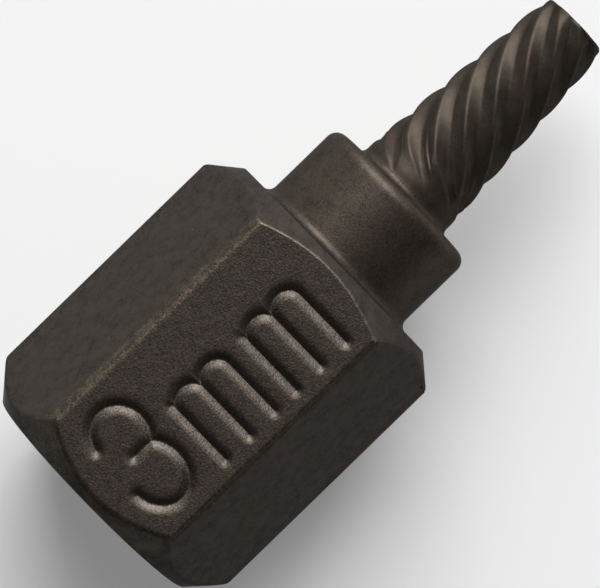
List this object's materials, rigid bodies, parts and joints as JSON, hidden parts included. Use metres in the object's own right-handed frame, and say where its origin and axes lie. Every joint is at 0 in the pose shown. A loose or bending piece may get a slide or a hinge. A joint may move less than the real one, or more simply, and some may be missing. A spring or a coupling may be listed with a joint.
{
  "type": "screw extractor",
  "caption": "Tapered left-hand fluted shank with a round collar and a chamfered hexagon head, in one piece of dark steel.",
  "frame": {"origin": "centre of the head's struck end face, on the axis of the tool", "axes": "+X along the axis from the head to the fluted tip, +Z out of the upper flat of the hexagon; the tool lies on the opposite flat"},
  "size_m": [0.0232, 0.0108, 0.0096],
  "materials": {
    "dark_steel": "matt dark phosphate"
  },
  "bodies": {
    "root": {"screw_extractor": "dark_steel"}
  },
  "joints": []
}
